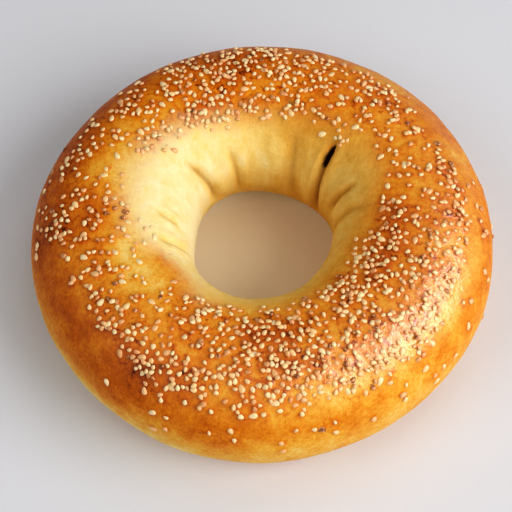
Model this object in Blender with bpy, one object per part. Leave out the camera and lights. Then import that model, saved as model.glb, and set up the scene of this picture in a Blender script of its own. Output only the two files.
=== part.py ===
"""A plump round ring bread with a sesame crust, modelled as one solid.

The ring is one section carried round a circle. The section has a domed crown, a belly that is
widest a little under half height, and a flat base. A few slow waves of the direction make the
outline, the hole and the height uneven. Folds of dough run down the wall of the hole, and one of
them is torn open. Sesame seeds are fused into the crust of the crown.

Sizes are in metres and angles in degrees. +Z is up, the base lies on z = 0, and the origin is
under the middle of the ring. A place on the crust is given by two angles. The turn is the
direction round the ring: 0 is +X, 90 is +Y. The side is the angle round the section: 0 is the
outer edge, 90 the crown and 180 the wall of the hole.
"""

import math
import random
from collections import namedtuple

import bmesh
import bpy
from mathutils import Matrix, Vector, noise

MM = 0.001

# Driving sizes of the ring.
OUTER_RADIUS = 70 * MM
HOLE_RADIUS = 22.7 * MM
HEIGHT = 42 * MM
WAIST = 0.46 * HEIGHT

# The section is a superellipse above the waist, and a squarer one below it, cut off by the base.
CROWN_ROUNDNESS = 2.2
BELLY_ROUNDNESS = 2.5
BASE_CUT = 2 * MM
BASE_EDGE = math.degrees(math.asin((WAIST / (WAIST + BASE_CUT)) ** (BELLY_ROUNDNESS / 2)))

# Waves of the turn. Each has a number of waves in one turn, a size, and a lag in degrees.
OUTLINE_WAVES = ((2, 0.7 * MM, 28), (4, 0.2 * MM, -38), (5, 0.2 * MM, -140))
HOLE_WAVES = ((1, 0.95 * MM, 105), (2, 1.4 * MM, 155), (3, 0.65 * MM, 9), (4, 0.4 * MM, 121))
HEIGHT_WAVES = ((1, 0.5 * MM, 80), (3, 0.3 * MM, 40), (5, 0.2 * MM, 10))

# A fold is a groove down the wall of the hole, from head to foot, with a soft shoulder on each
# side. Its bottom is sharper the nearer the sharpness is to 1.
Fold = namedtuple("Fold", "head_turn foot_turn head_side foot_side depth width")
FOLDS = (
    Fold(20, 27, 129, 180, 1.3 * MM, 1.3 * MM),
    Fold(48, 44, 116, 204, 1.9 * MM, 1.4 * MM),
    Fold(71, 65, 125, 204, 1.1 * MM, 3.2 * MM),
    Fold(112, 105, 142, 204, 1.0 * MM, 1.5 * MM),
    Fold(143, 123, 130, 200, 1.5 * MM, 1.8 * MM),
    Fold(3, 13, 118, 190, 1.0 * MM, 1.7 * MM),
    Fold(179, 184, 121, 146, 1.0 * MM, 1.1 * MM),
    Fold(196, 202, 120, 158, 0.9 * MM, 1.2 * MM),
)
FOLD_FADE = 0.3
FOLD_SHARPNESS = 1.3
SHOULDER_HEIGHT = 0.35
SHOULDER_OFFSET = 1.7

# The fold at this place is torn open. An ellipsoid is cut out there, with these half lengths
# along the fold, across it and into the crust.
TEAR_TURN = 47.2
TEAR_SIDE = 138.5
TEAR_HALF_SIZE = (5 * MM, 1.05 * MM, 2.8 * MM)

# Sesame seeds, as length, width and thickness, and how much of the thickness is sunk in the crust.
SEED_LENGTH = (2.4 * MM, 2.8 * MM)
SEED_WIDTH_SHARE = (0.64, 0.74)
SEED_THICKNESS = 1.0 * MM
SEED_SUNK = 0.4
SEED_TAPER = 0.3
SEED_TILT = 8
SEED_GAP = 6.5 * MM
SEED_COUNT = 160
SEED_TRIES = 20000
SEED_DRAW = 31

# The seeded band lies between these sides, which go in waves round the ring, and fades at its
# edges over these many degrees. Its cover is 0 where bare and 1 where full. It goes in waves, in
# patches that fade out over their half turn and half side, and in clumps.
BAND_OUTER_SIDE = 51
BAND_OUTER_WAVES = ((1, 6, 90),)
BAND_OUTER_FADE = 30
BAND_INNER_SIDE = 115
BAND_INNER_WAVES = ((1, 4, -14), (2, 7, -163), (3, 4, -63))
BAND_INNER_FADE = 10
COVER = 0.53
COVER_WAVES = ((1, 0.19, 290), (2, 0.1, 210))
Patch = namedtuple("Patch", "turn side half_turn half_side change")
COVER_PATCHES = (
    Patch(28, 60, 12, 24, -0.35),
    Patch(8, 99, 20, 12, -0.3),
    Patch(61, 103, 10, 8, -0.3),
    Patch(47, 118, 6, 8, 0.5),
    Patch(46, 138, 5, 10, -1),
    Patch(112, 117, 17, 8, 0.35),
    Patch(122, 70, 12, 9, -0.2),
    Patch(167, 82, 12, 11, -0.38),
    Patch(181, 80, 8, 14, 0.15),
    Patch(160, 62, 12, 7, -0.15),
    Patch(142, 83, 9, 6, 0.25),
    Patch(140, 113, 8, 6, 0.25),
    Patch(164, 108, 12, 10, -0.35),
    Patch(184, 56, 5, 9, 0.35),
    Patch(205, 46, 18, 10, -0.4),
    Patch(192, 113, 8, 6, 0.45),
    Patch(225, 50, 12, 8, -0.3),
    Patch(242, 60, 10, 8, 0.2),
    Patch(216, 106, 16, 11, -0.35),
    Patch(225, 85, 25, 25, -0.15),
    Patch(250, 80, 15, 8, -0.22),
    Patch(325, 72, 20, 8, -0.15),
    Patch(350, 53, 22, 8, -0.25),
    Patch(330, 97, 18, 14, 0.2),
    Patch(330, 120, 16, 7, 0.2),
    Patch(275, 98, 16, 14, 0.28),
    Patch(68, 84, 14, 8, -0.15),
    Patch(100, 88, 32, 15, 0.45),
    Patch(300, 20, 60, 15, 0.03),
    Patch(175, 35, 14, 9, 0.13),
    Patch(314, 55, 9, 6, 0.4),
    Patch(340, 76, 9, 7, -0.25),
    Patch(275, 44, 25, 7, -0.15),
    Patch(335, 51, 30, 8, -0.2),
    Patch(342, 93, 10, 8, -0.3),
    Patch(60, 53, 14, 8, -0.25),
    Patch(2, 38, 8, 8, 0.25),
    Patch(0, 72, 9, 7, 0.25),
    Patch(250, 114, 14, 6, -0.25),
    Patch(222, 104, 10, 6, -0.2),
)
CLUMP_SIZE = 6 * MM
CLUMP_DEPTH = 1.4

# Resolution of the solid. The steps round the ring are crowded towards the folds, by this share
# at this turn.
TURN_STEPS = 100
TURN_CROWDING = 0.35
CROWDED_TURN = 95
SECTION_STEPS = 24
SEED_SIDES = 6
SEED_RINGS = 2
TEAR_SIDES = 10
TEAR_RINGS = 6
SHARP_ANGLE = math.radians(30)


def sum_of_waves(turn, waves):
    """Height at this turn of waves given as waves in one turn, size and lag."""
    return sum(size * math.cos(math.radians(order * turn - lag)) for order, size, lag in waves)


def signed_power(value, power):
    """The power of a value that may be negative, with its sign kept."""
    return math.copysign(abs(value) ** power, value)


def smooth_step(value):
    """0 below 0, 1 above 1, and a soft rise between them."""
    value = min(1.0, max(0.0, value))
    return value * value * (3 - 2 * value)


def sum_of_patches(turn, side, patches):
    """The change that the patches make at this place."""
    total = 0.0
    for patch in patches:
        off_turn = ((turn - patch.turn + 180) % 360 - 180) / patch.half_turn
        off_side = (side - patch.side) / patch.half_side
        total += patch.change * math.exp(-off_turn * off_turn - off_side * off_side)
    return total


def fold_relief(turn, side, radius):
    """How far the folds raise the crust at this place. It is negative in a groove."""
    relief = 0.0
    for fold in FOLDS:
        share = (side - fold.head_side) / (fold.foot_side - fold.head_side)
        line = fold.head_turn + (fold.foot_turn - fold.head_turn) * min(1.0, max(0.0, share))
        ends = smooth_step(share / FOLD_FADE) * smooth_step((1 - share) / FOLD_FADE)
        off = math.radians((turn - line + 180) % 360 - 180) * radius / fold.width
        groove = math.exp(-(abs(off) ** FOLD_SHARPNESS))
        shoulder = SHOULDER_HEIGHT * math.exp(-((abs(off) - SHOULDER_OFFSET) ** 2))
        relief += fold.depth * ends * (shoulder - groove)
    return relief


def crust_point(turn, side):
    """The place on the crust at this turn and side."""
    outer = OUTER_RADIUS + sum_of_waves(turn, OUTLINE_WAVES)
    hole = HOLE_RADIUS + sum_of_waves(turn, HOLE_WAVES)
    height = HEIGHT + sum_of_waves(turn, HEIGHT_WAVES)
    across = math.cos(math.radians(side))
    up = math.sin(math.radians(side))
    if up >= 0:
        power, reach = 2 / CROWN_ROUNDNESS, height - WAIST
    else:
        power, reach = 2 / BELLY_ROUNDNESS, WAIST + BASE_CUT
    radius = (outer + hole) / 2 + (outer - hole) / 2 * signed_power(across, power)
    relief = fold_relief(turn, side, radius)
    radius += relief * across
    level = WAIST + reach * signed_power(up, power) + relief * up
    angle = math.radians(turn)
    return Vector((radius * math.cos(angle), radius * math.sin(angle), max(0.0, level)))


def crust_frame(turn, side):
    """The directions at this place, as columns: along the section, round the ring, out of the crust."""
    step = 0.5
    down = (crust_point(turn, side + step) - crust_point(turn, side - step)).normalized()
    around = crust_point(turn + step, side) - crust_point(turn - step, side)
    out = around.cross(down).normalized()
    around = down.cross(out)
    return Matrix((down, -around, out)).transposed()


def new_object(name, mesh_builder, material, collection=None):
    """An object in the scene with a mesh made from a bmesh, shaded smooth, in this material."""
    mesh = bpy.data.meshes.new(name)
    bmesh.ops.recalc_face_normals(mesh_builder, faces=mesh_builder.faces[:])
    mesh_builder.to_mesh(mesh)
    mesh_builder.free()
    mesh.materials.append(material)
    mesh.shade_smooth()
    made = bpy.data.objects.new(name, mesh)
    (collection or bpy.context.scene.collection).objects.link(made)
    return made


def bridge_rings(builder, rings, closed):
    """Quads between neighbouring rings of vertices, and between the last and the first where closed."""
    pairs = list(zip(rings, rings[1:]))
    if closed:
        pairs.append((rings[-1], rings[0]))
    for near, far in pairs:
        for i in range(len(near)):
            j = (i + 1) % len(near)
            builder.faces.new((near[i], near[j], far[j], far[i]))


def ring_of_dough(material):
    """The ring without its seeds: rings of points round the section, joined across the flat base."""
    builder = bmesh.new()
    turns = [360 * column / TURN_STEPS for column in range(TURN_STEPS)]
    crowding = math.degrees(TURN_CROWDING)
    turns = [turn - crowding * math.sin(math.radians(turn - CROWDED_TURN)) for turn in turns]
    span = 180 + 2 * BASE_EDGE
    rings = []
    for row in range(SECTION_STEPS + 1):
        side = -BASE_EDGE + span * row / SECTION_STEPS
        rings.append([builder.verts.new(crust_point(turn, side)) for turn in turns])
    bridge_rings(builder, rings, closed=True)
    return new_object("bagel", builder, material)


def tear_cutter(material):
    """The ellipsoid that opens the torn fold."""
    builder = bmesh.new()
    bmesh.ops.create_uvsphere(builder, u_segments=TEAR_SIDES, v_segments=TEAR_RINGS, radius=1)
    bmesh.ops.scale(builder, vec=TEAR_HALF_SIZE, verts=builder.verts[:])
    place = crust_frame(TEAR_TURN, TEAR_SIDE).to_4x4()
    place.translation = crust_point(TEAR_TURN, TEAR_SIDE)
    bmesh.ops.transform(builder, matrix=place, verts=builder.verts[:])
    cutter = new_object("tear", builder, material)
    cutter.hide_render = True
    cutter.display_type = "WIRE"
    return cutter


def seed_cover(turn, side):
    """How fully seeds cover this place of the crust, from 0 to 1, without the clumps."""
    first = BAND_OUTER_SIDE + sum_of_waves(turn, BAND_OUTER_WAVES)
    last = BAND_INNER_SIDE + sum_of_waves(turn, BAND_INNER_WAVES)
    rise = smooth_step((side - first) / BAND_OUTER_FADE + 0.5)
    fall = smooth_step((last - side) / BAND_INNER_FADE + 0.5)
    band = rise * fall * (COVER + sum_of_waves(turn, COVER_WAVES))
    return max(0.0, band + sum_of_patches(turn, side, COVER_PATCHES))


def seed_spots(count, gap):
    """Turns and sides for the seeds, drawn over the band and no nearer to each other than the gap."""
    draw = random.Random(SEED_DRAW)
    spots, places = [], []
    for _ in range(SEED_TRIES):
        turn, side = draw.uniform(0, 360), draw.uniform(0, 180)
        place = crust_point(turn, side)
        clump = 1 + CLUMP_DEPTH * noise.noise(place / CLUMP_SIZE)
        area = place.xy.length / OUTER_RADIUS
        if draw.random() > seed_cover(turn, side) * clump * area:
            continue
        if all((place - other).length > gap for other in places):
            spots.append((turn, side))
            places.append(place)
        if len(spots) == count:
            break
    return spots


def seed_mesh(length, width, thickness):
    """A flat drop on its side, pointed towards +X, as a bmesh."""
    builder = bmesh.new()
    rings = []
    for row in range(1, SEED_RINGS + 1):
        along = -math.cos(math.pi * row / (SEED_RINGS + 1))
        girth = math.sqrt(1 - along * along) * (1 - SEED_TAPER * along)
        ring = []
        for corner in range(SEED_SIDES):
            angle = 2 * math.pi * corner / SEED_SIDES
            across = girth * width / 2 * math.cos(angle)
            up = girth * thickness / 2 * math.sin(angle)
            ring.append(builder.verts.new((along * length / 2, across, up)))
        rings.append(ring)
    bridge_rings(builder, rings, closed=False)
    for end, ring in ((-length / 2, rings[0]), (length / 2, rings[-1])):
        tip = builder.verts.new((end, 0, 0))
        for i in range(SEED_SIDES):
            builder.faces.new((tip, ring[i], ring[(i + 1) % SEED_SIDES]))
    return builder


def scatter_seeds(material, tray):
    """Sesame seeds lying flat on the crust, turned at random, each an object in the tray."""
    draw = random.Random(SEED_DRAW)
    for number, (turn, side) in enumerate(seed_spots(SEED_COUNT, SEED_GAP)):
        length = draw.uniform(*SEED_LENGTH)
        builder = seed_mesh(length, length * draw.uniform(*SEED_WIDTH_SHARE), SEED_THICKNESS)
        spin = Matrix.Rotation(draw.uniform(0, math.tau), 4, "Z")
        tilt = Matrix.Rotation(math.radians(draw.uniform(-SEED_TILT, SEED_TILT)), 4, "Y")
        place = crust_frame(turn, side).to_4x4()
        rise = place.col[2].xyz * SEED_THICKNESS * (0.5 - SEED_SUNK)
        place.translation = crust_point(turn, side) + rise
        bmesh.ops.transform(builder, matrix=place @ spin @ tilt, verts=builder.verts[:])
        new_object(f"seed_{number}", builder, material, tray)


def apply_boolean(target, operation, operand_type, operand):
    """Cuts or joins the operand, an object or a collection, and keeps the result as the mesh."""
    modifier = target.modifiers.new(operation.lower(), "BOOLEAN")
    modifier.operation = operation
    modifier.operand_type = operand_type
    modifier.material_mode = "TRANSFER"
    setattr(modifier, operand_type.lower(), operand)
    graph = bpy.context.evaluated_depsgraph_get()
    result = bpy.data.meshes.new_from_object(target.evaluated_get(graph))
    target.modifiers.clear()
    target.data = result


def baked_material(name, colour, roughness):
    """A matt or glossy food colour, as a Principled BSDF."""
    material = bpy.data.materials.new(name)
    material.use_nodes = True
    shader = material.node_tree.nodes["Principled BSDF"]
    shader.inputs["Base Color"].default_value = (*colour, 1)
    shader.inputs["Roughness"].default_value = roughness
    material.diffuse_color = (*colour, 1)
    return material


def main():
    for old in list(bpy.data.objects):
        bpy.data.objects.remove(old)
    crust = baked_material("crust", (0.72, 0.34, 0.07), 0.35)
    sesame = baked_material("sesame", (0.92, 0.76, 0.48), 0.4)

    bagel = ring_of_dough(crust)
    cutter = tear_cutter(crust)
    apply_boolean(bagel, "DIFFERENCE", "OBJECT", cutter)
    bpy.data.objects.remove(cutter)

    tray = bpy.data.collections.new("seeds")
    bpy.context.scene.collection.children.link(tray)
    scatter_seeds(sesame, tray)
    apply_boolean(bagel, "UNION", "COLLECTION", tray)
    for seed in list(tray.objects):
        bpy.data.objects.remove(seed)
    bpy.data.collections.remove(tray)
    bagel.data.set_sharp_from_angle(angle=SHARP_ANGLE)


main()
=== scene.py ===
"""The looks of a sesame ring bagel: its baked crust, its sesame seeds, the floor, light and camera.

The crust is the same ring as the solid's, from the same sizes, with finer relief. A place on it is
given by two angles in degrees. The turn is the direction round the ring: 0 is +X, 90 is +Y. The side
is the angle round the section: 0 is the outer edge, 90 the crown and 180 the wall of the hole.
"""

import math
import random
from collections import namedtuple

import bpy
import numpy as np
from mathutils import Matrix, Vector, kdtree, noise


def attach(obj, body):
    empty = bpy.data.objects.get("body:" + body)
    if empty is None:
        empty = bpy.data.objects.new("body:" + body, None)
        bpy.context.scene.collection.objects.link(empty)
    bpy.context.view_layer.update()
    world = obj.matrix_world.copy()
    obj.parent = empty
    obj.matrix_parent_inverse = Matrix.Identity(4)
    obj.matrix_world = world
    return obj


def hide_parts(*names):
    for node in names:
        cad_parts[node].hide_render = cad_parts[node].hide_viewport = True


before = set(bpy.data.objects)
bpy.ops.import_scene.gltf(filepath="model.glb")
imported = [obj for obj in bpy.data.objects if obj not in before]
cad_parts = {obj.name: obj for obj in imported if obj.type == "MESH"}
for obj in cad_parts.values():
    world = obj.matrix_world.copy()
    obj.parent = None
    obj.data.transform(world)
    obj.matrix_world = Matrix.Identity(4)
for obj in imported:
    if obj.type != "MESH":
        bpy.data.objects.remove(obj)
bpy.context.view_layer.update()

MM = 0.001

# The ring, as in the solid.
OUTER_RADIUS = 70 * MM
HOLE_RADIUS = 22.7 * MM
HEIGHT = 42 * MM
WAIST = 0.46 * HEIGHT
CROWN_ROUNDNESS = 2.2
BELLY_ROUNDNESS = 2.5
BASE_CUT = 2 * MM
BASE_EDGE = math.degrees(math.asin((WAIST / (WAIST + BASE_CUT)) ** (BELLY_ROUNDNESS / 2)))

# Waves of the turn. Each has a number of waves in one turn, a size, and a lag in degrees.
OUTLINE_WAVES = ((2, 0.7 * MM, 28), (4, 0.2 * MM, -38), (5, 0.2 * MM, -140))
HOLE_WAVES = ((1, 0.95 * MM, 105), (2, 1.4 * MM, 155), (3, 0.65 * MM, 9), (4, 0.4 * MM, 121))
HEIGHT_WAVES = ((1, 0.5 * MM, 80), (3, 0.3 * MM, 40), (5, 0.2 * MM, 10))

# Folds down the wall of the hole. Each fades out over a share of its length at both ends. Its bottom is
# the sharper the nearer the sharpness is to 1, and it has a low shoulder on each side, some widths away.
Fold = namedtuple("Fold", "head_turn foot_turn head_side foot_side depth width")
FOLDS = (
    Fold(20, 27, 129, 180, 1.3 * MM, 1.3 * MM),
    Fold(48, 44, 116, 204, 1.9 * MM, 1.4 * MM),
    Fold(71, 65, 125, 204, 1.1 * MM, 3.2 * MM),
    Fold(112, 105, 142, 204, 1.0 * MM, 1.5 * MM),
    Fold(143, 123, 130, 200, 1.5 * MM, 1.8 * MM),
    Fold(3, 13, 118, 190, 1.0 * MM, 1.7 * MM),
    Fold(179, 184, 121, 146, 1.0 * MM, 1.1 * MM),
    Fold(196, 202, 120, 158, 0.9 * MM, 1.2 * MM),
)
FOLD_FADE = 0.3
FOLD_SHARPNESS = 1.3
SHOULDER_HEIGHT = 0.35
SHOULDER_OFFSET = 1.7

# The torn place in a fold, with half its length, half its width and its depth, and how far it lies from
# the middle of the section.
TEAR_TURN = 47.2
TEAR_SIDE = 138.5
TEAR_HALF_SIZE = (5 * MM, 1.05 * MM, 2.8 * MM)
TEAR_ARM = 23 * MM

# Patches of the crust with more or less of something. Each fades out over its half turn and side.
Patch = namedtuple("Patch", "turn side half_turn half_side change")

# The seeds that the solid has, and the smaller ones that fill up the crust between them. The draw starts
# the random numbers, the sunk part is a share of the thickness, and the tilt is in degrees.
SeedKind = namedtuple("SeedKind", "draw tries count gap length width_share thickness sunk tilt")
SOLID_SEEDS = SeedKind(31, 20000, 160, 6.5 * MM, (2.4 * MM, 2.8 * MM), (0.64, 0.74), 1.0 * MM, 0.4, 8)
FILL_SEEDS = SeedKind(57, 90000, 1270, 1.2 * MM, (1.4 * MM, 2.0 * MM), (0.64, 0.86), 0.85 * MM, 0.3, 22)

# The form of a seed, and what starts the random numbers for how toasted each one is.
SEED_TAPER = 0.3
SEED_SIDES = 8
SEED_RINGS = 6
TOAST_DRAW = 5

# A seed is lifted for each of the earlier seeds within this reach, up to this many of them.
PILE_REACH = 1.9 * MM
PILE_LIFT = 0.35 * MM
PILE_MOST = 2

# The band of the crust that seeds cover, how fully they cover it, and how they clump.
BAND_OUTER_SIDE = 51
BAND_OUTER_WAVES = ((1, 6, 90),)
BAND_OUTER_FADE = 30
BAND_INNER_SIDE = 115
BAND_INNER_WAVES = ((1, 4, -14), (2, 7, -163), (3, 4, -63))
BAND_INNER_FADE = 10
COVER = 0.53
COVER_WAVES = ((1, 0.19, 290), (2, 0.1, 210))
COVER_PATCHES = (
    Patch(28, 60, 12, 24, -0.35),
    Patch(8, 99, 20, 12, -0.3),
    Patch(61, 103, 10, 8, -0.3),
    Patch(47, 118, 6, 8, 0.5),
    Patch(46, 138, 5, 10, -1),
    Patch(112, 117, 17, 8, 0.35),
    Patch(122, 70, 12, 9, -0.2),
    Patch(167, 82, 12, 11, -0.38),
    Patch(181, 80, 8, 14, 0.15),
    Patch(160, 62, 12, 7, -0.15),
    Patch(142, 83, 9, 6, 0.25),
    Patch(140, 113, 8, 6, 0.25),
    Patch(164, 108, 12, 10, -0.35),
    Patch(184, 56, 5, 9, 0.35),
    Patch(205, 46, 18, 10, -0.4),
    Patch(192, 113, 8, 6, 0.45),
    Patch(225, 50, 12, 8, -0.3),
    Patch(242, 60, 10, 8, 0.2),
    Patch(216, 106, 16, 11, -0.35),
    Patch(225, 85, 25, 25, -0.15),
    Patch(250, 80, 15, 8, -0.22),
    Patch(325, 72, 20, 8, -0.15),
    Patch(350, 53, 22, 8, -0.25),
    Patch(330, 97, 18, 14, 0.2),
    Patch(330, 120, 16, 7, 0.2),
    Patch(275, 98, 16, 14, 0.28),
    Patch(68, 84, 14, 8, -0.15),
    Patch(100, 88, 32, 15, 0.45),
    Patch(300, 20, 60, 15, 0.03),
    Patch(175, 35, 14, 9, 0.13),
    Patch(314, 55, 9, 6, 0.4),
    Patch(340, 76, 9, 7, -0.25),
    Patch(275, 44, 25, 7, -0.15),
    Patch(335, 51, 30, 8, -0.2),
    Patch(342, 93, 10, 8, -0.3),
    Patch(60, 53, 14, 8, -0.25),
    Patch(2, 38, 8, 8, 0.25),
    Patch(0, 72, 9, 7, 0.25),
    Patch(250, 114, 14, 6, -0.25),
    Patch(222, 104, 10, 6, -0.2),
)
CLUMP_SIZE = 6 * MM
CLUMP_DEPTH = 1.4

# The mesh of the crust.
TURN_STEPS = 520
SECTION_STEPS = 184
BASE_STEPS = 6

# Fine relief of the crust: soft lumps of dough, small bumps, and the rise round each seed. It begins at
# the base and is full at the fade height.
LUMP_SIZE = 15 * MM
LUMP_HEIGHT = 0.35 * MM
BUMP_SIZE = 3.2 * MM
BUMP_HEIGHT = 0.08 * MM
# The reach of the rise round each seed also sets how far the painted shade round it spreads.
SEED_BED_REACH = 1.3 * MM
SEED_BED_HEIGHT = 0.2 * MM
RELIEF_FADE_HEIGHT = 6 * MM

# The shade in the folds, painted into the colour along with a little browning. A fold this deep is
# shaded in full, and its crease is this share of the width.
DEEP_FOLD = 1.8 * MM
CREASE_WIDTH = 0.4

# Seeds are a full crowd when this many lie within this reach.
CROWD_REACH = 5 * MM
CROWD_COUNT = 12

# The unbrowned wall of the hole begins at this side, over this many degrees. The base is far from pale.
PALE_SIDE = 120
PALE_WAVES = ((1, 11, -38), (2, 7, -147), (3, 7, -36), (4, 3, -117))
PALE_FADE = 17
PALE_PATCHES = (
    Patch(142, 110, 22, 30, 8),
    Patch(184, 92, 14, 14, -7),
    Patch(212, 118, 15, 30, -16),
    Patch(242, 115, 14, 30, 10),
)
BASE_PALE = -4

# How brown the crust, the wall and the base are, from 0, cream, to 1, dark brown, with painted light
# mixed in. The crust's wave and its patches on the left and back flanks brown it partly as painted shade
# on the side away from the lamps. Its patch at turn 312 lightens it as a painted highlight under the
# sheen at the right front. The wall's wave and its patch at turn 318 darken its right and front, which
# face away from the window, partly as painted shade. Its patches at sides 195 and 200 paint shade at its
# foot, where it meets the floor.
BAKE = 0.475
BAKE_AND_SHADE_WAVES = ((1, 0.07, 130),)
BAKE_AND_PAINTED_LIGHT_PATCHES = (
    Patch(270, 98, 14, 12, 0.16),
    Patch(338, 98, 16, 12, 0.16),
    Patch(158, 92, 32, 16, -0.24),
    Patch(205, 102, 20, 14, -0.26),
    Patch(30, 60, 14, 20, 0.05),
    Patch(210, 35, 34, 22, 0.08),
    Patch(218, -18, 45, 20, -0.33),
    Patch(300, 5, 40, 26, -0.06),
    Patch(312, 52, 38, 14, -0.24),
    Patch(350, 18, 28, 25, 0.1),
    Patch(252, 26, 44, 26, 0.13),
    Patch(155, 40, 55, 22, 0.13),
    Patch(184, 88, 13, 12, 0.13),
    Patch(225, 50, 32, 16, 0.06),
    Patch(340, 104, 30, 10, 0.04),
    Patch(85, 98, 40, 14, -0.05),
    Patch(335, 38, 22, 14, 0.04),
    Patch(338, 110, 26, 16, 0.06),
    Patch(236, 52, 22, 18, 0.04),
    Patch(32, 32, 20, 14, 0.05),
)
WALL_BAKE = 0.18
WALL_BAKE_AND_SHADE_WAVES = ((1, 0.12, 340),)
WALL_BAKE_AND_SHADE_PATCHES = (
    Patch(55, 200, 60, 25, 0.28),
    Patch(95, 132, 28, 22, 0.05),
    Patch(60, 121, 28, 24, 0.27),
    Patch(318, 118, 40, 16, 0.37),
    Patch(212, 120, 16, 12, -0.03),
    Patch(122, 195, 22, 18, 0.14),
    Patch(178, 178, 35, 25, -0.12),
)
BASE_BAKE = 0.5

# The gloss of the egg wash. It rises from a side on the outer crust, and is partly lost again from
# another side on, towards the hole.
GLAZE = 0.5
GLAZE_WAVES = ((1, 0.5, 310),)
GLAZE_SIDE = 27
GLAZE_RISE = 30
GLAZE_LOSS = 0.6
GLAZE_LOSS_SIDE = 68
GLAZE_LOSS_FADE = 32

# Colours of the crust and the wall by how brown they are, and of seeds by how toasted they are.
CRUST_COLOURS = (
    (0.0, (0.95, 0.85, 0.50)),
    (0.18, (0.92, 0.66, 0.19)),
    (0.36, (0.86, 0.43, 0.045)),
    (0.52, (0.76, 0.25, 0.012)),
    (0.68, (0.58, 0.125, 0.004)),
    (0.84, (0.32, 0.052, 0.002)),
    (1.0, (0.10, 0.018, 0.002)),
)
WALL_COLOURS = (
    (0.0, (0.95, 0.85, 0.50)),
    (0.18, (0.91, 0.67, 0.21)),
    (0.36, (0.80, 0.46, 0.085)),
    (0.52, (0.66, 0.30, 0.035)),
    (0.68, (0.50, 0.165, 0.012)),
    (0.84, (0.32, 0.08, 0.005)),
)
# Painted shade in the creases of the folds, which are also a little browner.
CREASE_SHADE_COLOUR = (0.33, 0.15, 0.03, 1)
CREASE_SHADE_STRENGTH = 0.85
# Painted shade inside the tear, near black.
TEAR_SHADE_COLOUR = (0.05, 0.016, 0.005, 1)
SEED_COLOURS = (
    (0.0, (0.97, 0.78, 0.43)),
    (0.4, (0.95, 0.66, 0.31)),
    (0.7, (0.92, 0.53, 0.24)),
    (0.88, (0.84, 0.44, 0.18)),
    (0.97, (0.66, 0.28, 0.09)),
    (1.0, (0.22, 0.07, 0.02)),
)

# The floor. Its colour changes from warm, a painted bounce of light from the crust, to plain between two
# radii that lie under the ring.
FLOOR_HALF = 6.0
FLOOR_LEVEL = -0.1 * MM
FLOOR_CLOUD_SIZE = 0.2
FLOOR_COLOURS = ((0.0, (0.73, 0.75, 0.80)), (0.3, (0.76, 0.78, 0.83)))
PAINTED_BOUNCE_COLOUR = (0.87, 0.75, 0.58, 1)
PAINTED_BOUNCE_RADIUS = 25 * MM
PLAIN_RADIUS = 50 * MM

# Lamps. Each has its direction from the ring, its size, its power and its colour, and lights either
# the gloss alone or all but the gloss.
Lamp = namedtuple("Lamp", "name towards size power colour gloss_only")
LAMP_DISTANCE = 1.6
DAYLIGHT = (1.0, 0.98, 0.96)
SHEEN_LIGHT = (1.0, 0.90, 0.91)
LAMPS = (
    Lamp("window", (0.74, -0.29, 0.60), 1.2, 15.6, DAYLIGHT, False),
    Lamp("sheen", (0.75, -0.13, 0.65), 1.1, 28, SHEEN_LIGHT, True),
    Lamp("front", (0.34, -0.73, 0.60), 1.12, 4.7, DAYLIGHT, False),
    Lamp("fill", (-0.615, -0.33, 0.72), 0.96, 4.0, DAYLIGHT, False),
    Lamp("top", (0.32, 0.42, 0.85), 1.0, 2.4, DAYLIGHT, False),
)
WORLD_COLOUR = (1.0, 0.98, 0.95, 1)
WORLD_STRENGTH = 0.2

# Camera.
LENS = 100
SENSOR_WIDTH = 36
CAMERA_ELEVATION = 60
CAMERA_DISTANCE = 459.6 * MM
CAMERA_TARGET = Vector((-1.97 * MM, 6.66 * MM, 0))
CAMERA_NEAREST = 10 * MM


def sum_of_waves(turn, waves):
    """The sum at this turn of waves given as waves in one turn, size and lag."""
    return sum(size * np.cos(np.radians(order * turn - lag)) for order, size, lag in waves)


def signed_power(value, power):
    """The power of a value that may be negative, with its sign kept."""
    return np.sign(value) * np.abs(value) ** power


def smooth_step(value):
    """0 below 0, 1 above 1, and a soft rise between them."""
    value = np.clip(value, 0, 1)
    return value * value * (3 - 2 * value)


def turn_past(turn, middle):
    """How many degrees this turn lies past the middle, the short way round the ring."""
    return (turn - middle + 180) % 360 - 180


def sum_of_patches(turn, side, patches):
    """The change that the patches make at this place."""
    total = 0.0
    for patch in patches:
        off_turn = turn_past(turn, patch.turn) / patch.half_turn
        off_side = (side - patch.side) / patch.half_side
        total = total + patch.change * np.exp(-off_turn ** 2 - off_side ** 2)
    return total


def fold_lines(turn, side, radius):
    """For each fold, how strong it is here and how far off its line this place is, in widths."""
    for fold in FOLDS:
        share = (side - fold.head_side) / (fold.foot_side - fold.head_side)
        line = fold.head_turn + (fold.foot_turn - fold.head_turn) * np.clip(share, 0, 1)
        ends = smooth_step(share / FOLD_FADE) * smooth_step((1 - share) / FOLD_FADE)
        off = np.radians(turn_past(turn, line)) * radius / fold.width
        yield fold, ends, off


def fold_relief(turn, side, radius):
    """How far the folds raise the crust at this place. It is negative in a groove."""
    relief = 0.0
    for fold, ends, off in fold_lines(turn, side, radius):
        shoulder = SHOULDER_HEIGHT * np.exp(-((np.abs(off) - SHOULDER_OFFSET) ** 2))
        relief += fold.depth * ends * (shoulder - np.exp(-np.abs(off) ** FOLD_SHARPNESS))
    return relief


def fold_shade(turn, side, radius):
    """How far inside a groove and inside its sharp crease this place lies, each from 0 to 1."""
    groove = np.zeros(turn.shape)
    crease = np.zeros(turn.shape)
    for fold, ends, off in fold_lines(turn, side, radius):
        strength = min(1, fold.depth / DEEP_FOLD)
        groove = np.maximum(groove, strength * ends * np.exp(-off * off))
        crease = np.maximum(crease, strength ** 2 * ends * np.exp(-(off / CREASE_WIDTH) ** 2))
    return groove, crease


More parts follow.
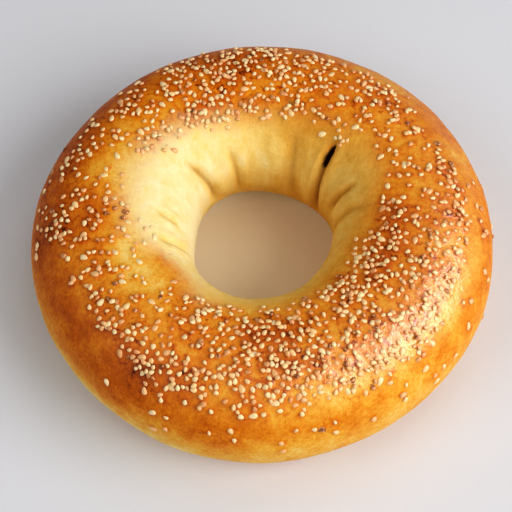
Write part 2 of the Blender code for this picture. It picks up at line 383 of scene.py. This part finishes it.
def tear_share(turn, side, radius):
    """How deep the tear is at this place, from 0 outside it to 1 in its middle."""
    along = (side - TEAR_SIDE) * np.radians(1) * TEAR_ARM / TEAR_HALF_SIZE[0]
    beside = turn_past(turn, TEAR_TURN) * np.radians(1) * radius / TEAR_HALF_SIZE[1]
    return np.clip(1 - along ** 2 - beside ** 2, 0, 1) ** 0.5


def crust_points(turn, side, extra=0.0):
    """Places on the crust at these turns and sides, raised by the extra relief."""
    outer = OUTER_RADIUS + sum_of_waves(turn, OUTLINE_WAVES)
    hole = HOLE_RADIUS + sum_of_waves(turn, HOLE_WAVES)
    height = HEIGHT + sum_of_waves(turn, HEIGHT_WAVES)
    across = np.cos(np.radians(side))
    up = np.sin(np.radians(side))
    power = np.where(up >= 0, 2 / CROWN_ROUNDNESS, 2 / BELLY_ROUNDNESS)
    reach = np.where(up >= 0, height - WAIST, WAIST + BASE_CUT)
    radius = (outer + hole) / 2 + (outer - hole) / 2 * signed_power(across, power)
    relief = fold_relief(turn, side, radius) + extra
    radius = radius + relief * across
    level = WAIST + reach * signed_power(up, power) + relief * up
    angle = np.radians(turn)
    return np.stack((radius * np.cos(angle), radius * np.sin(angle), np.maximum(0, level)), -1)


def crust_frame(turn, side):
    """The directions at this place, as columns: along the section, round the ring, out of the crust."""
    step = 0.5
    turns = np.array((turn, turn, turn - step, turn + step))
    sides = np.array((side - step, side + step, side, side))
    before, after, left, right = crust_points(turns, sides)
    down = Vector(after - before).normalized()
    around = Vector(right - left)
    out = around.cross(down).normalized()
    around = down.cross(out)
    return Matrix((down, -around, out)).transposed()


def seed_cover(turn, side):
    """How fully seeds cover this place of the crust, from 0 to 1, without the clumps."""
    first = BAND_OUTER_SIDE + sum_of_waves(turn, BAND_OUTER_WAVES)
    last = BAND_INNER_SIDE + sum_of_waves(turn, BAND_INNER_WAVES)
    rise = smooth_step((side - first) / BAND_OUTER_FADE + 0.5)
    fall = smooth_step((last - side) / BAND_INNER_FADE + 0.5)
    band = rise * fall * (COVER + sum_of_waves(turn, COVER_WAVES))
    return np.maximum(0, band + sum_of_patches(turn, side, COVER_PATCHES))


def seed_spots(kind, taken):
    """Turns and sides for the seeds of a kind, no nearer than their gap, and all places now taken."""
    draw = random.Random(kind.draw)
    draws = [(draw.uniform(0, 360), draw.uniform(0, 180), draw.random()) for _ in range(kind.tries)]
    draws = np.array(draws)
    places = crust_points(draws[:, 0], draws[:, 1])
    chance = seed_cover(draws[:, 0], draws[:, 1]) * np.hypot(places[:, 0], places[:, 1]) / OUTER_RADIUS
    chance *= [1 + CLUMP_DEPTH * noise.noise(Vector(place) / CLUMP_SIZE) for place in places]
    spots = []
    for (turn, side, luck), place, likely in zip(draws, places, chance):
        if luck > likely or len(spots) == kind.count:
            continue
        if len(taken) and np.min(np.sum((taken - place) ** 2, 1)) <= kind.gap ** 2:
            continue
        taken = np.vstack((taken, place))
        spots.append((turn, side))
    return spots, taken


def unit_seed():
    """Corners and faces of a drop pointed towards +X, in a box of about 2 by 2 by 2."""
    corners = [(-1, 0, 0)]
    for row in range(1, SEED_RINGS + 1):
        along = -math.cos(math.pi * row / (SEED_RINGS + 1))
        girth = math.sqrt(1 - along * along) * (1 - SEED_TAPER * along)
        for corner in range(SEED_SIDES):
            angle = 2 * math.pi * corner / SEED_SIDES
            corners.append((along, girth * math.cos(angle), girth * math.sin(angle)))
    corners.append((1, 0, 0))
    last = len(corners) - 1
    faces = []
    for i in range(SEED_SIDES):
        j = (i + 1) % SEED_SIDES
        faces.append((0, 1 + j, 1 + i))
        for row in range(SEED_RINGS - 1):
            near, far = 1 + row * SEED_SIDES, 1 + (row + 1) * SEED_SIDES
            faces.append((near + i, near + j, far + j, far + i))
        faces.append((last, last - SEED_SIDES + i, last - SEED_SIDES + j))
    return np.array(corners), faces


def scatter_seeds(material):
    """Makes all sesame seeds as one joined mesh, and returns the places where they lie."""
    corners, faces = unit_seed()
    all_corners, all_faces, tints = [], [], []
    taken = np.zeros((0, 3))
    laid = np.zeros((0, 3))
    tint_draw = random.Random(TOAST_DRAW)
    for kind in (SOLID_SEEDS, FILL_SEEDS):
        spots, taken = seed_spots(kind, taken)
        draw = random.Random(kind.draw)
        for turn, side in spots:
            length = draw.uniform(*kind.length)
            width = length * draw.uniform(*kind.width_share)
            spin = Matrix.Rotation(draw.uniform(0, math.tau), 3, "Z")
            tilt = Matrix.Rotation(math.radians(draw.uniform(-kind.tilt, kind.tilt)), 3, "Y")
            basis = crust_frame(turn, side)
            place = crust_points(turn, side)
            under = np.count_nonzero(np.sum((laid - place) ** 2, 1) < PILE_REACH ** 2)
            laid = np.vstack((laid, place))
            rise = kind.thickness * (0.5 - kind.sunk) + PILE_LIFT * min(PILE_MOST, under)
            place = place + np.array(basis.col[2]) * rise
            size = np.array((length, width, kind.thickness)) / 2
            turned = np.array(basis @ spin @ tilt)
            start = len(all_corners) * len(corners)
            all_corners.append(corners * size @ turned.T + place)
            all_faces.extend(tuple(start + i for i in face) for face in faces)
            tints.append(tint_draw.random())
    seeds = new_piece("sesame_seeds", np.concatenate(all_corners), all_faces, material)
    add_attribute(seeds, "toast", np.repeat(tints, len(corners)))
    return taken


def new_piece(name, corners, faces, material):
    """A smooth mesh object with this material, riding on the body and standing for the solid."""
    mesh = bpy.data.meshes.new(name)
    mesh.from_pydata(np.asarray(corners).tolist(), [], faces)
    mesh.materials.append(material)
    mesh.shade_smooth()
    piece = bpy.data.objects.new(name, mesh)
    bpy.context.scene.collection.objects.link(piece)
    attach(piece, "root")
    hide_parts("bagel")
    return piece


def add_attribute(piece, name, values):
    """Stores one number for each corner of the mesh, which the material reads by this name."""
    attribute = piece.data.attributes.new(name, "FLOAT", "POINT")
    attribute.data.foreach_set("value", np.asarray(values, dtype=np.float32).ravel())


def search_tree(places):
    """A tree that finds the nearest of these places."""
    tree = kdtree.KDTree(len(places))
    for number, place in enumerate(places):
        tree.insert(place, number)
    tree.balance()
    return tree


def each_point(measure, points):
    """The measure of each point in a grid, in a grid of the same form."""
    measures = [measure(Vector(point)) for point in points.reshape(-1, 3)]
    return np.array(measures).reshape(points.shape[:-1])


def fine_relief(points, bed):
    """The lumps, the bumps and the rise round each seed at these points of the crust."""
    lumps = each_point(lambda point: noise.noise(point / LUMP_SIZE), points)
    bumps = each_point(lambda point: noise.noise(point / BUMP_SIZE), points)
    off_base = smooth_step(points[..., 2] / RELIEF_FADE_HEIGHT)
    return (lumps * LUMP_HEIGHT + bumps * BUMP_HEIGHT + bed * SEED_BED_HEIGHT) * off_base


def add_base(points):
    """The rows of points, each carried on across the flat base from its last point towards its first."""
    first, last = points[:, 0], points[:, -1]
    shares = [step / BASE_STEPS for step in range(1, BASE_STEPS)]
    rows = [last * (1 - share) + first * share for share in shares]
    return np.concatenate((points, np.stack(rows, 1)), 1)


def closed_grid(turns, sides):
    """Faces of a grid of points that closes on itself both ways."""
    index = np.arange(turns * sides).reshape(turns, sides)
    after = np.roll(index, -1, 0)
    faces = np.stack((index, after, np.roll(after, -1, 1), np.roll(index, -1, 1)), -1)
    return faces.reshape(-1, 4).tolist()


def glaze_share(turn, side):
    """How much egg-wash gloss this place has. Most is on the outer crown at the right front."""
    rise = smooth_step((side - GLAZE_SIDE) / GLAZE_RISE)
    kept = 1 - GLAZE_LOSS * smooth_step((side - GLAZE_LOSS_SIDE) / GLAZE_LOSS_FADE)
    return rise * kept * (GLAZE + sum_of_waves(turn, GLAZE_WAVES))


def crust_fields(turn, side, radius):
    """Fields that the crust's material reads, each with the value that it has on the base."""
    pale = side - PALE_SIDE - sum_of_waves(turn, PALE_WAVES) + sum_of_patches(turn, side, PALE_PATCHES)
    # The waves and patches of both brownings carry painted shade as well as browning, and the crust's
    # also a painted highlight.
    bake_and_painted_light = BAKE + sum_of_waves(turn, BAKE_AND_SHADE_WAVES) + sum_of_patches(turn, side, BAKE_AND_PAINTED_LIGHT_PATCHES)
    wall_bake_and_shade = WALL_BAKE + sum_of_waves(turn, WALL_BAKE_AND_SHADE_WAVES)
    wall_bake_and_shade = wall_bake_and_shade + sum_of_patches(turn, side, WALL_BAKE_AND_SHADE_PATCHES)
    groove, crease = fold_shade(turn, side, radius)
    return {
        "pale": (pale / PALE_FADE, BASE_PALE),
        "bake_and_painted_light": (bake_and_painted_light, BASE_BAKE),
        "wall_bake_and_shade": (wall_bake_and_shade, BASE_BAKE),
        "glaze": (glaze_share(turn, side), 0),
        "groove": (groove, 0),
        "crease": (crease, 0),
    }


def make_crust(material, seed_places):
    """Makes the baked ring with its fine relief, and the fields that its material reads."""
    turns = 360 * np.arange(TURN_STEPS) / TURN_STEPS
    sides = np.linspace(-BASE_EDGE, 180 + BASE_EDGE, SECTION_STEPS + 1)
    turn, side = np.meshgrid(turns, sides, indexing="ij")
    rough = crust_points(turn, side)
    radius = np.hypot(rough[..., 0], rough[..., 1])
    tree = search_tree(seed_places)
    nearest = each_point(lambda point: tree.find(point)[2], rough)
    bed = np.exp(-(nearest / SEED_BED_REACH) ** 2)
    tear = tear_share(turn, side, radius)
    extra = fine_relief(rough, bed) - tear * TEAR_HALF_SIZE[2]
    points = add_base(crust_points(turn, side, extra))
    crust = new_piece("crust", points.reshape(-1, 3), closed_grid(*points.shape[:2]), material)

    fields = crust_fields(turn, side, radius)
    # Painted shade round each seed, from the same falloff as the rise round it.
    fields["seed_shade"] = (bed, 0)
    fields["tear"] = (tear, 0)
    for name, (field, base_value) in fields.items():
        base = np.full((TURN_STEPS, BASE_STEPS - 1), base_value)
        add_attribute(crust, name, np.concatenate((field, base), 1))
    crowd = each_point(lambda point: len(tree.find_range(point, CROWD_REACH)), points)
    add_attribute(crust, "crowd", crowd / CROWD_COUNT)


class Nodes:
    """Short calls for making the nodes of one material and linking them."""

    def __init__(self, material):
        self.tree = material.node_tree

    def link(self, value, socket):
        self.tree.links.new(value, socket)

    def add(self, kind, settings=(), **inputs):
        """A node of this kind, with its settings, and its inputs by name or by number, as i0 or i1."""
        node = self.tree.nodes.new(kind)
        for name, value in dict(settings).items():
            setattr(node, name, value)
        for name, value in inputs.items():
            numbered = name[0] == "i" and name[1:].isdigit()
            socket = node.inputs[int(name[1:])] if numbered else node.inputs[name]
            if isinstance(value, bpy.types.NodeSocket):
                self.link(value, socket)
            else:
                socket.default_value = value
        return node

    def place(self):
        """The place on the object, in metres."""
        return self.add("ShaderNodeTexCoord").outputs["Object"]

    def attribute(self, name):
        """The number that the mesh stores by this name."""
        return self.add("ShaderNodeAttribute", {"attribute_name": name}).outputs["Fac"]

    def centred_noise(self, place, size, detail):
        """Noise of this size that swings about 0."""
        node = self.add("ShaderNodeTexNoise", Vector=place, Scale=1 / size, Detail=detail)
        return self.math("SUBTRACT", node.outputs["Fac"], 0.5)

    def math(self, operation, first, second):
        """The result of this operation on two values."""
        return self.add("ShaderNodeMath", {"operation": operation}, i0=first, i1=second).outputs[0]

    def total(self, first, *terms):
        """The first value plus each term's value times its weight."""
        settings = {"operation": "MULTIPLY_ADD"}
        total = first
        for term, weight in terms:
            total = self.add("ShaderNodeMath", settings, i0=term, i1=weight, i2=total).outputs[0]
        return total

    def smooth(self, value, low, high):
        """0 below low, 1 above high, and a soft rise between them."""
        inputs = {"Value": value, "From Min": low, "From Max": high}
        node = self.add("ShaderNodeMapRange", {"interpolation_type": "SMOOTHSTEP"}, **inputs)
        return node.outputs["Result"]

    def ramp(self, factor, stops):
        """A colour between the stops, which each have a share and a colour."""
        node = self.add("ShaderNodeValToRGB", Fac=factor)
        elements = node.color_ramp.elements
        while len(elements) < len(stops):
            elements.new(0.5)
        for element, (share, colour) in zip(elements, stops):
            element.position = share
            element.color = (*colour, 1)
        return node.outputs["Color"]

    def mix(self, factor, first, second):
        """The first colour where the factor is 0, and the second where it is 1."""
        node = self.add("ShaderNodeMix", {"data_type": "RGBA"}, i0=factor, i6=first, i7=second)
        return node.outputs[2]


def new_material(name):
    """A material with its Principled BSDF and a helper for its nodes."""
    material = bpy.data.materials.new(name)
    material.use_nodes = True
    return material, material.node_tree.nodes["Principled BSDF"], Nodes(material)


def crust_material():
    """Egg-washed crust, browned in patches, and the pale creased wall of the hole, with painted shade in
    the creases, in the tear, round the seeds and in some of the patches.
    """
    material, shader, nodes = new_material("baked_crust")
    place = nodes.place()
    large = nodes.centred_noise(place, 16 * MM, detail=3)
    middle = nodes.centred_noise(place, 4.5 * MM, detail=4)
    fine = nodes.centred_noise(place, 1.2 * MM, detail=3)
    grain = nodes.centred_noise(place, 0.5 * MM, detail=2)
    down_wall = nodes.add("ShaderNodeMapping", Vector=place, Scale=(1, 1, 0.2)).outputs["Vector"]
    streak = nodes.centred_noise(down_wall, 3 * MM, detail=3)

    crowd = nodes.attribute("crowd")
    speck = nodes.smooth(nodes.centred_noise(place, 2.4 * MM, detail=2), 0.06, 0.22)
    crowded_speck = nodes.math("MULTIPLY", speck, crowd)
    # The crust is browned by its field and by noise, more where seeds lie thick, and darkened round each
    # seed as painted shade where seed meets crust.
    browned_and_shaded = nodes.total(nodes.attribute("bake_and_painted_light"),
                          (large, 0.38), (middle, 0.36), (fine, 0.28), (grain, 0.22),
                          (crowd, 0.04), (crowded_speck, 0.19), (nodes.attribute("seed_shade"), 0.18))
    # The wall's browning, with painted shade in the grooves of the folds.
    wall = nodes.total(nodes.attribute("wall_bake_and_shade"),
                       (streak, 0.3), (middle, 0.12), (fine, 0.08), (nodes.attribute("groove"), 0.16))
    pale = nodes.smooth(nodes.total(nodes.attribute("pale"), (middle, 1.2), (streak, 1.2)), -1, 1)
    # Painted shade in the creases of the folds.
    crease = nodes.math("MULTIPLY", nodes.attribute("crease"), CREASE_SHADE_STRENGTH)
    # Painted shade inside the tear.
    tear = nodes.smooth(nodes.attribute("tear"), 0, 0.5)
    colour = nodes.mix(pale, nodes.ramp(browned_and_shaded, CRUST_COLOURS), nodes.ramp(wall, WALL_COLOURS))
    colour = nodes.mix(crease, colour, CREASE_SHADE_COLOUR)
    nodes.link(nodes.mix(tear, colour, TEAR_SHADE_COLOUR), shader.inputs["Base Color"])

    nodes.link(nodes.total(0.45, (pale, 0.15), (fine, 0.3)), shader.inputs["Roughness"])
    shader.inputs["Specular IOR Level"].default_value = 0.05
    shader.inputs["Coat Roughness"].default_value = 0.28
    shader.inputs["Coat IOR"].default_value = 1.65
    glaze = nodes.math("MULTIPLY", nodes.attribute("glaze"), nodes.math("SUBTRACT", 1.0, pale))
    nodes.link(glaze, shader.inputs["Coat Weight"])
    height = nodes.total(0.0, (middle, 0.5), (fine, 0.4), (grain, 0.25))
    bump = nodes.add("ShaderNodeBump", Strength=0.7, Distance=0.7 * MM, Height=height)
    nodes.link(bump.outputs["Normal"], shader.inputs["Normal"])
    nodes.link(bump.outputs["Normal"], shader.inputs["Coat Normal"])
    return material


def seed_material():
    """Hulled sesame, cream to toasted and now and then burnt, a little glossy."""
    material, shader, nodes = new_material("sesame")
    grain = nodes.centred_noise(nodes.place(), 0.8 * MM, detail=2)
    toast = nodes.total(nodes.attribute("toast"), (grain, 0.3))
    nodes.link(nodes.ramp(toast, SEED_COLOURS), shader.inputs["Base Color"])
    shader.inputs["Roughness"].default_value = 0.35
    return material


def floor_material():
    """Plain pale floor, with painted warm light under the hole, where light from the crust gathers."""
    material, shader, nodes = new_material("floor")
    place = nodes.place()
    plain = nodes.ramp(nodes.centred_noise(place, FLOOR_CLOUD_SIZE, detail=2), FLOOR_COLOURS)
    radius = nodes.add("ShaderNodeVectorMath", {"operation": "LENGTH"}, i0=place).outputs["Value"]
    colour = nodes.mix(nodes.smooth(radius, PAINTED_BOUNCE_RADIUS, PLAIN_RADIUS), PAINTED_BOUNCE_COLOUR, plain)
    nodes.link(colour, shader.inputs["Base Color"])
    shader.inputs["Roughness"].default_value = 0.5
    return material


def make_floor():
    """A wide pale floor just under the base."""
    signs = ((-1, -1), (1, -1), (1, 1), (-1, 1))
    corners = [(FLOOR_HALF * x, FLOOR_HALF * y, FLOOR_LEVEL) for x, y in signs]
    mesh = bpy.data.meshes.new("floor")
    mesh.from_pydata(corners, [], [(0, 1, 2, 3)])
    mesh.materials.append(floor_material())
    floor = bpy.data.objects.new("floor", mesh)
    bpy.context.scene.collection.objects.link(floor)


def hang_lamp(lamp):
    """A round soft lamp in its direction from the ring, aimed at the ring."""
    light = bpy.data.lights.new(lamp.name, "AREA")
    light.shape = "DISK"
    light.size = lamp.size
    light.energy = lamp.power
    light.color = lamp.colour
    holder = bpy.data.objects.new(lamp.name, light)
    direction = Vector(lamp.towards).normalized()
    holder.location = direction * LAMP_DISTANCE
    holder.rotation_euler = direction.to_track_quat("Z", "Y").to_euler()
    holder.visible_diffuse = not lamp.gloss_only
    holder.visible_glossy = lamp.gloss_only
    bpy.context.scene.collection.objects.link(holder)


def light_scene():
    """Soft lamps, the strongest low to the right, and pale light all round."""
    for lamp in LAMPS:
        hang_lamp(lamp)
    world = bpy.data.worlds.new("studio")
    bpy.context.scene.world = world
    world.use_nodes = True
    background = world.node_tree.nodes["Background"]
    background.inputs["Color"].default_value = WORLD_COLOUR
    background.inputs["Strength"].default_value = WORLD_STRENGTH


def place_camera():
    """Looks down on the ring from the front, as the photo does."""
    camera = bpy.data.cameras.new("camera")
    camera.lens = LENS
    camera.sensor_width = SENSOR_WIDTH
    camera.clip_start = CAMERA_NEAREST
    eye = bpy.data.objects.new("camera", camera)
    tilt = math.radians(90 - CAMERA_ELEVATION)
    eye.rotation_euler = (tilt, 0, 0)
    back = Vector((0, -math.sin(tilt), math.cos(tilt)))
    eye.location = CAMERA_TARGET + back * CAMERA_DISTANCE
    bpy.context.scene.collection.objects.link(eye)
    bpy.context.scene.camera = eye


place_camera()
light_scene()
make_floor()
seed_places = scatter_seeds(seed_material())
make_crust(crust_material(), seed_places)
bpy.context.scene.view_settings.view_transform = "Standard"
bpy.context.scene.view_settings.look = "Medium High Contrast"
